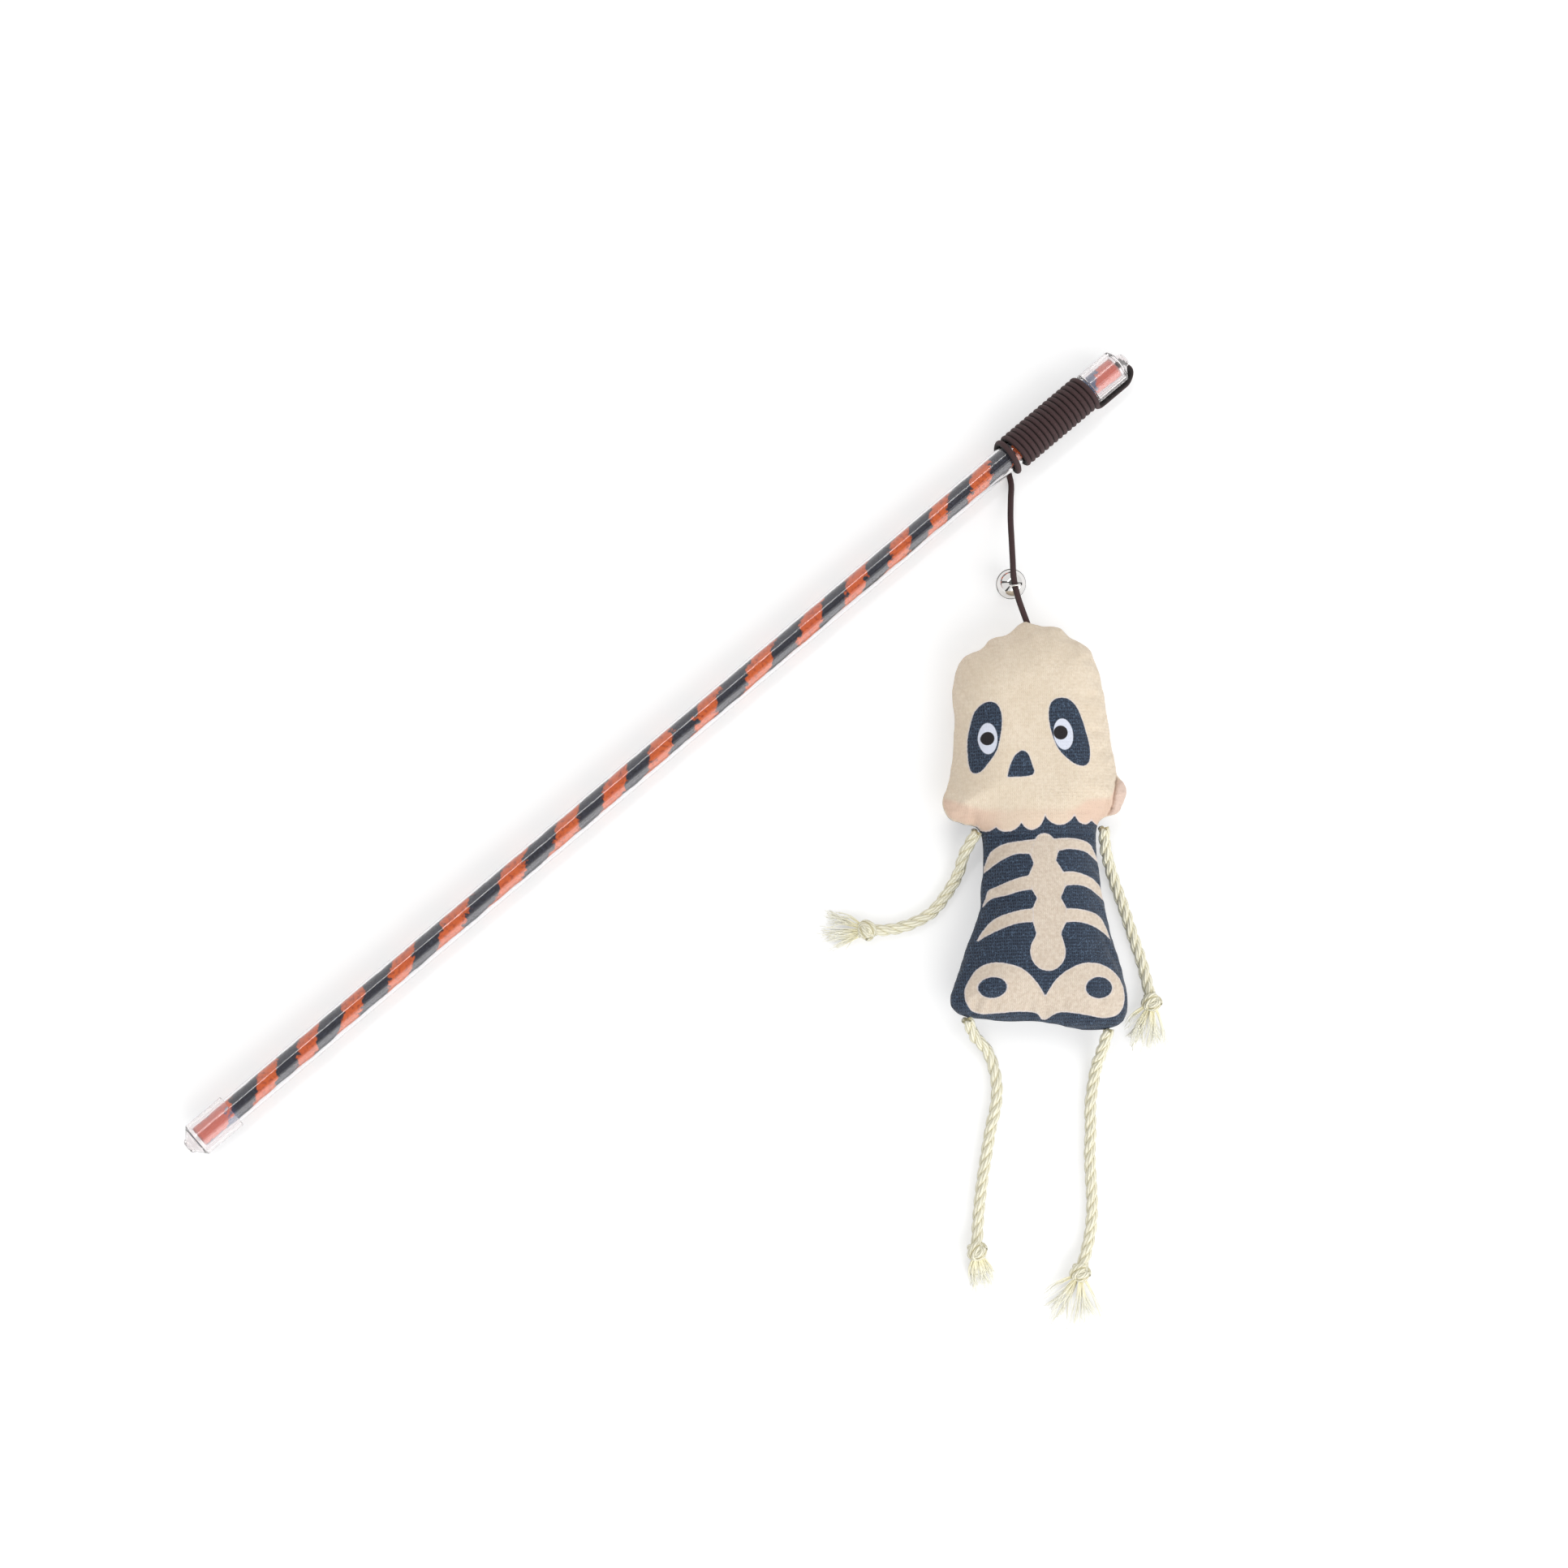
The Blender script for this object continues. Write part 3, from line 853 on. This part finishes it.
def windingPath():
    def spoke(degrees):  # from the wand's axis outwards
        return Vector((0, -math.cos(math.radians(degrees)), math.sin(math.radians(degrees))))

    w = winding
    end = Vector((w["tubeEnd"], 0, 0))
    hook = [end + Vector((x, 0, 0)) + spoke(w["hookTurn"]) * r for x, r in w["hookRoute"]]
    entry = [end + Vector((x, 0, 0)) + spoke(w["hookTurn"] + a) * r for x, r, a in w["entryRoute"]]
    start = w["capDepth"] + w["clearOfCap"] * cord["widthMm"]
    first = w["hookTurn"] + w["leadTurn"]
    last = 360 * (w["tightTurns"] + w["hitchTurns"])
    steps = round((last - first) / 360 * w["ringsPerTurn"])
    turns, spokes = [], []
    for k in range(steps + 1):
        a = first + (last - first) * k / steps
        done = (a - first) / 360 * last / (last - first)
        out, back, again = (ease((done - w["tightTurns"] - begin) / span) for begin, span in w["hitchTimes"])
        hitch = out - w["hitchReturn"] * (back - again)
        x = w["tubeEnd"] - start - w["pitch"] * done - w["hitchStep"] * hitch
        turns.append(Vector((x, 0, 0)) + spoke(a) * w["radius"])
        spokes.append(spoke(a))
    tail = [turns[-1] + Vector((0, -d * w["tailMm"], 0)) for d in w["tailShares"]]
    lead = smoothPath(hook + entry + turns[:2], w["leadStep"])[:-1]
    lead = [p for p in lead if (p - turns[0]).length > w["joinMm"] and p.x > turns[0].x - w["overlapMm"]]
    path = [p * mm for p in lead + turns + tail]
    side = Vector((-1, 0, 0)).cross(spoke(w["hookTurn"]))
    outs = []
    for i, p in enumerate(lead):
        ahead = (path[i + 1] - path[max(i - 1, 0)]).normalized()
        flat = Vector((0, p.y, p.z)).normalized()
        outs.append(side.cross(ahead) if p.x > w["tubeEnd"] - w["turnOverMm"] else flat)
    return path, outs + spokes + [-up] * len(tail)


def makeWinding():
    path, outs = windingPath()
    mesh = bmesh.new()
    sweepTube(mesh, path, cord["widthMm"] / 2 * mm, winding["sides"], outs=outs)
    obj = showMesh("wound_cord", mesh, elastic, "wand")
    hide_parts("cord_winding")
    print("winding made")


makeWinding()

# plush strip inside the tube: orange and near-black bands that run round it like a barber's pole
strip = {
    "start": 0.6, "end": 390.2, "radius": 3.46, "place": (0, 0.26, -0.1), "holeRadius": 1.0, "sides": 40,
    "stepMm": 1.2, "lumpMm": 5, "lumpHeight": 0.3, "tuftMm": 1.6, "tuftHeight": 0.14, "boreMm": 3.72,
    # middles of the orange bands on top of the wand, from its butt; they are printed unevenly
    "bandsMm": [8, 28.3, 44.8, 62.3, 83.5, 104.6, 129.2, 152.3, 172.3, 191.3, 211.6, 233.9, 256.5, 275.5,
                295.1, 312, 330.1, 348.8, 367.4, 386],
    # the orange's share of a band pair, and how far its jagged edge wanders as a share too
    "orangeShare": 0.46, "jagged": 0.5, "endMm": 13,
    "orange": "#D65E1C", "rust": "#8A2410", "endOrange": "#CE4A32", "dark": "#161320", "slate": "#3E465A",
    "endDark": "#4C5E86",
    "grainsMm": {"edge": 2.4, "speck": 1.1, "pile": 0.45, "broad": 30}, "bumpMm": 0.25, "roughness": 0.85,
    "sheen": 0.3, "endFadeMm": 2, "edgeShare": 0.02,
}


def plushMaterial():  # short-pile polyester plush: matt, streaky, with jagged edges to its printed bands
    material, tree, shader = newMaterial("printedPolyesterPlush")
    uv = addNode(tree, "UVMap", uv_map="UVMap")
    split = addNode(tree, "SeparateXYZ", {"Vector": uv})
    place = addNode(tree, "TexCoord").outputs["Object"]
    grain = {name: addNode(tree, "TexNoise", {"Vector": place, "Scale": 1 / (size * mm), "Detail": 3.0,
                                              "Roughness": 0.6}).outputs[0]
             for name, size in strip["grainsMm"].items()}
    # the UV map counts bands along the strip and turns round it, so a band slants round once while it passes
    band = addNode(tree, "Math", {0: split.outputs["X"], 1: split.outputs["Y"]}, operation="ADD")
    wander = addNode(tree, "Math", {0: grain["edge"], 1: 0.5}, operation="SUBTRACT")
    jagged = addNode(tree, "Math", {0: wander, 1: strip["jagged"], 2: band}, operation="MULTIPLY_ADD")
    phase = addNode(tree, "Math", {0: jagged}, operation="FRACT")
    distance = addNode(tree, "Math", {0: phase, 1: 0.5}, operation="SUBTRACT")
    away = addNode(tree, "Math", {0: distance}, operation="ABSOLUTE")
    middle, reach = (strip["end"] + strip["start"]) / 2, (strip["end"] - strip["start"]) / 2 - strip["endMm"]
    fade = strip["endFadeMm"]
    along = addNode(tree, "SeparateXYZ", {"Vector": place}).outputs["X"]
    fromMiddle = addNode(tree, "Math", {0: along, 1: middle * mm}, operation="SUBTRACT")
    toEnd = addNode(tree, "Math", {0: fromMiddle}, operation="ABSOLUTE")
    half, soft = strip["orangeShare"] / 2, strip["edgeShare"]
    # each layer's field, that field's range, and the most it covers
    ranges = {"orange": (away, half + soft, half - soft, 1.0), "rust": (grain["speck"], 0.48, 0.68, 0.7),
              "slate": (grain["pile"], 0.42, 0.72, 0.6), "warm": (grain["broad"], 0.45, 0.65, 0.2),
              "end": (toEnd, (reach - fade) * mm, (reach + fade) * mm, 0.8)}
    bands = layColors(tree, strip, ranges, (
        ("pale", "orange", [("rust", "rust"), ("warm", "endOrange"), ("end", "endOrange")]),
        ("deep", "dark", [("slate", "slate"), ("end", "endDark")]),
        ("bands", "deep", [("orange", "pale")])))
    bump = addNode(tree, "Bump", {"Height": grain["pile"], "Distance": strip["bumpMm"] * mm})
    feed(tree, shader, {"Base Color": bands, "Normal": bump, "Roughness": strip["roughness"],
                        "Sheen Weight": strip["sheen"]})
    return material


def makeStrip():  # a rolled strip: a soft lumpy tube with its seam below and a hole down its middle
    middle = Vector(strip["place"])
    steps = round((strip["end"] - strip["start"]) / strip["stepMm"])
    path = [(middle + Vector((strip["start"] + (strip["end"] - strip["start"]) * k / steps, 0, 0))) * mm
            for k in range(steps + 1)]
    mesh = bmesh.new()
    sweepTube(mesh, path, strip["radius"] * mm, strip["sides"], outs=[-up] * len(path))
    for vert in mesh.verts:
        away = Vector((0, vert.co.y - middle.y * mm, vert.co.z - middle.z * mm)).normalized()
        rise = strip["lumpHeight"] * noise.noise(vert.co / (strip["lumpMm"] * mm)) \
            + strip["tuftHeight"] * noise.noise(vert.co / (strip["tuftMm"] * mm))
        vert.co += away * rise * mm
        # the tube's bore presses the pile in
        pressed = min(1, strip["boreMm"] * mm / max(math.hypot(vert.co.y, vert.co.z), 1e-9))
        vert.co = Vector((vert.co.x, vert.co.y * pressed, vert.co.z * pressed))
    for end in (min, max):
        x = end(v.co.x for v in mesh.verts)
        cap = [f for f in mesh.faces if all(abs(v.co.x - x) < 1e-6 for v in f.verts)]
        bmesh.ops.inset_region(mesh, faces=cap, thickness=(strip["radius"] - strip["holeRadius"]) * mm)
        inside = {v for f in cap for v in f.verts}
        depth = strip["endMm"] if end is min else -strip["endMm"]
        bmesh.ops.translate(mesh, vec=(depth * mm, 0, 0), verts=list(inside))
    uv = mesh.loops.layers.uv["UVMap"]
    for face in mesh.faces:
        for loop in face.loops:
            turn, walked = loop[uv].uv
            bands = np.interp(walked + strip["start"], strip["bandsMm"], range(len(strip["bandsMm"])))
            loop[uv].uv = (turn, bands)
    obj = showMesh("plush_insert", mesh, plushMaterial(), "wand")
    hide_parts("plush_strip")
    print("plush strip made")


makeStrip()

# clear plastic: the tube is extruded polycarbonate, glossy; the caps are moulded soft PVC, a little milky
clearLook = {"polycarbonate": {"color": "#FCFCFD", "ior": 1.54, "clear": 1.0, "roughness": 0.02,
                               "scuff": 0.03, "waveMm": 0.0004},
             "softPvc": {"color": "#FDF9F9", "ior": 1.42, "clear": 0.95, "roughness": 0.04,
                         "scuff": 0.06, "waveMm": 0.002},
             "grainMm": 6.0, "grainRange": (0.35, 0.75)}


def clearMaterial(name):
    look = clearLook[name]
    material, tree, shader = newMaterial(name)
    place = addNode(tree, "TexCoord").outputs["Object"]
    wave = addNode(tree, "TexNoise", {"Vector": place, "Scale": 1 / (clearLook["grainMm"] * mm)}).outputs[0]
    low, high = clearLook["grainRange"]
    rough = addNode(tree, "MapRange", {"Value": wave, "From Min": low, "From Max": high,
                                       "To Min": look["roughness"],
                                       "To Max": look["roughness"] + look["scuff"]})
    bump = addNode(tree, "Bump", {"Height": wave, "Distance": look["waveMm"] * mm})
    # daylight passes the thin wall unbent, so the plush inside is lit evenly
    rays = addNode(tree, "LightPath")
    lit = addNode(tree, "Math", {0: rays.outputs["Is Shadow Ray"], 1: rays.outputs["Is Diffuse Ray"]},
                  operation="MAXIMUM")
    solid = addNode(tree, "Math", {0: 1.0, 1: lit}, operation="SUBTRACT")
    feed(tree, shader, {"Base Color": hexColor(look["color"]), "IOR": look["ior"], "Roughness": rough,
                        "Transmission Weight": look["clear"], "Normal": bump, "Alpha": solid})
    return material


def dressNode(node, material):  # a CAD node keeps its shape and takes a finish
    data = bpy.data.objects[node].data
    data.materials.clear()
    data.materials.append(material)


dressNode("clear_tube", clearMaterial("polycarbonate"))
capPlastic = clearMaterial("softPvc")
dressNode("butt_cap", capPlastic)
dressNode("tip_cap", capPlastic)

# the bell: stamped steel sheet, bright nickel plated; the clapper is a bare steel ball
bellLook = {"nickel": "#E2E0DE", "nickelRoughness": 0.05, "steel": "#8E8C8A", "steelRoughness": 0.32,
            "grainMm": 1.2, "waveMm": 0.006, "grainRange": (0.3, 0.8), "roughnessShares": (0.7, 1.6)}


def platedMaterial(name, color, roughness):
    material, tree, shader = newMaterial(name)
    place = addNode(tree, "TexCoord").outputs["Object"]
    grain = addNode(tree, "TexNoise", {"Vector": place, "Scale": 1 / (bellLook["grainMm"] * mm),
                                       "Detail": 3.0}).outputs[0]
    (low, high), (least, most) = bellLook["grainRange"], bellLook["roughnessShares"]
    rough = addNode(tree, "MapRange", {"Value": grain, "From Min": low, "From Max": high,
                                       "To Min": roughness * least, "To Max": roughness * most})
    bump = addNode(tree, "Bump", {"Height": grain, "Distance": bellLook["waveMm"] * mm})
    feed(tree, shader, {"Base Color": hexColor(color), "Metallic": 1.0, "Roughness": rough, "Normal": bump})
    return material


nickel = platedMaterial("brightNickelPlate", bellLook["nickel"], bellLook["nickelRoughness"])
steel = platedMaterial("bareSteelBall", bellLook["steel"], bellLook["steelRoughness"])
for node in ("bell_upper", "bell_lower", "bell_eye"):
    dressNode(node, nickel)
dressNode("bell_clapper", steel)

# the knot inside the tip cap: one small overhand knot of the cord
tipKnot = {"centre": (392.1, 0, 0), "turnRadius": 0.62, "swing": 0.34, "stretch": 1.2, "cordRadius": 0.5,
           "sides": 8}


def makeTipKnot():
    k = tipKnot
    path = [(p + Vector(k["centre"])) * mm for p in knotPath(k["turnRadius"], k["swing"], k["stretch"])]
    mesh = bmesh.new()
    sweepTube(mesh, path, k["cordRadius"] * mm, k["sides"])
    obj = showMesh("tip_stop_knot", mesh, elastic, "wand")
    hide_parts("tip_knot")


makeTipKnot()

# stuffing: loose polyester fibre in the head and in the body, lumpy, inside the cover
stuffing = {"head": ((0, -37), (20, 29), 6.8), "body": ((1.5, -103), (17, 26), 6.2), "lift": 0.6,
            "lump": 0.05, "square": 0.75, "color": "#F2F0EA", "hollow": "#DEDAD0", "fibreMm": 0.8,
            "bumpMm": 0.3, "roughness": 0.95}


def stuffingMaterial():  # polyester fibrefill: white, soft and matt, with a fine tangle of fibres
    material, tree, shader = newMaterial("polyesterFibrefill")
    place = addNode(tree, "TexCoord").outputs["Object"]
    tangle = addNode(tree, "TexNoise", {"Vector": place, "Scale": 1 / (stuffing["fibreMm"] * mm),
                                        "Detail": 4.0, "Distortion": 1.5}).outputs[0]
    color = addNode(tree, "Mix", {"Factor": tangle, "A": hexColor(stuffing["hollow"]),
                                  "B": hexColor(stuffing["color"])}, data_type="RGBA")
    bump = addNode(tree, "Bump", {"Height": tangle, "Distance": stuffing["bumpMm"] * mm})
    feed(tree, shader, {"Base Color": color, "Normal": bump, "Roughness": stuffing["roughness"]})
    return material


def makeStuffing():
    fibre = stuffingMaterial()
    for part in ("head", "body"):
        (cx, cy), (halfWidth, halfHeight), halfDepth = stuffing[part]
        mesh = bmesh.new()
        bmesh.ops.create_icosphere(mesh, subdivisions=5, radius=1)
        for vert in mesh.verts:
            p = vert.co.copy()
            # waves that cross at odd steps, about five lumps across, and a ball pressed square in its bag
            lump = math.sin(p.x * 5 + 1.3) * math.sin(p.y * 6 + p.z * 4) * math.cos(p.z * 5 - p.x * 3)
            flat = Vector([math.copysign(abs(c) ** stuffing["square"], c) for c in p])
            grow = 1 + stuffing["lump"] * lump
            vert.co = onDoll(cx + flat.x * halfWidth * grow, cy + flat.y * halfHeight * grow,
                             stuffing["lift"] + flat.z * halfDepth * grow)
        obj = showMesh(f"{part}_fibre_fill", mesh, fibre, f"doll_{part}")
        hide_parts(f"{part}_stuffing")
    print("stuffing made")


makeStuffing()

# floor and light: a pale sweep in a light tent, with a long strip lamp and a big soft one, as in a packshot
studio = {"floorMiddle": (0.2, -0.05), "floorZ": -6.5, "floorSize": 4.0, "floor": "#D6D6D6",
          "floorGlow": 0.44, "white": "#FFFFFF",
          # the tent: its light, the darker opening overhead with its half angle, and its dark seams
          "tent": 0.94, "opening": 0.2, "openingDegrees": 24, "edgeDegrees": 3, "seam": 0.1,
          "seamsDegrees": (-40, 130, -165), "seamHalfDegrees": 6, "seamFadeDegrees": 8.4,
          # place and aim in metres, width and height in metres, power in watts
          "lamps": {"strip": ((0.4, 0.8, 1.35), (0.4, 0, 0), (1.2, 0.12), 3.0),
                    "soft": ((0.2, -1.0, 0.6), (0.2, -0.05, 0), (1.6, 0.9), 7.5)}}


def makeFloor():
    material, tree, shader = newMaterial("paleSweep")
    # the camera, mirrors and clear plastic see the floor brighter, and its shadows stay
    rays = addNode(tree, "LightPath")
    seen = rays.outputs["Is Camera Ray"]
    for kind in ("Is Glossy Ray", "Is Transmission Ray"):
        seen = addNode(tree, "Math", {0: seen, 1: rays.outputs[kind]}, operation="MAXIMUM").outputs[0]
    glow = addNode(tree, "Math", {0: seen, 1: studio["floorGlow"]}, operation="MULTIPLY")
    feed(tree, shader, {"Base Color": hexColor(studio["floor"]), "Roughness": 0.9, "Specular IOR Level": 0.0,
                        "Emission Color": hexColor(studio["white"]), "Emission Strength": glow})
    mesh = bmesh.new()
    bmesh.ops.create_grid(mesh, x_segments=1, y_segments=1, size=studio["floorSize"] / 2)
    bmesh.ops.translate(mesh, vec=(*studio["floorMiddle"], studio["floorZ"] * mm), verts=mesh.verts)
    showMesh("floor", mesh, material, None, smooth=False)


def makeLight():
    world = bpy.data.worlds.new("studio")
    bpy.context.scene.world = world
    world.use_nodes = True
    sky = world.node_tree
    direction = addNode(sky, "TexCoord").outputs["Generated"]
    split = addNode(sky, "SeparateXYZ", {"Vector": direction})
    openingEdge, tentEdge = (math.cos(math.radians(studio["openingDegrees"] + turn))
                             for turn in (0, studio["edgeDegrees"]))
    light = addNode(sky, "MapRange", {"Value": split.outputs["Z"], "From Min": tentEdge,
                                      "From Max": openingEdge, "To Min": studio["tent"],
                                      "To Max": studio["opening"]})
    azimuth = addNode(sky, "Math", {0: split.outputs["Y"], 1: split.outputs["X"]}, operation="ARCTAN2")
    for degrees in studio["seamsDegrees"]:
        turn = addNode(sky, "Math", {0: azimuth, 1: math.radians(degrees)}, operation="SUBTRACT")
        near = addNode(sky, "Math", {0: turn, 1: math.pi, 2: -math.pi}, operation="WRAP")
        away = addNode(sky, "Math", {0: near}, operation="ABSOLUTE")
        gap = addNode(sky, "MapRange", {"Value": away, "From Min": math.radians(studio["seamHalfDegrees"]),
                                        "From Max": math.radians(studio["seamFadeDegrees"]),
                                        "To Min": studio["seam"] / studio["tent"]})
        light = addNode(sky, "Math", {0: light, 1: gap}, operation="MULTIPLY")
    feed(sky, sky.nodes["Background"], {"Color": hexColor(studio["white"]), "Strength": light})
    for name, (place, target, (width, height), watts) in studio["lamps"].items():
        lamp = bpy.data.lights.new(name, "AREA")
        lamp.shape = "RECTANGLE"
        lamp.energy, lamp.size, lamp.size_y = watts, width, height
        obj = bpy.data.objects.new(name, lamp)
        bpy.context.collection.objects.link(obj)
        aim = Vector(target) - Vector(place)
        obj.matrix_world = Matrix.Translation(place) @ aim.to_track_quat("-Z", "Y").to_matrix().to_4x4()


makeFloor()
makeLight()
print("studio set")
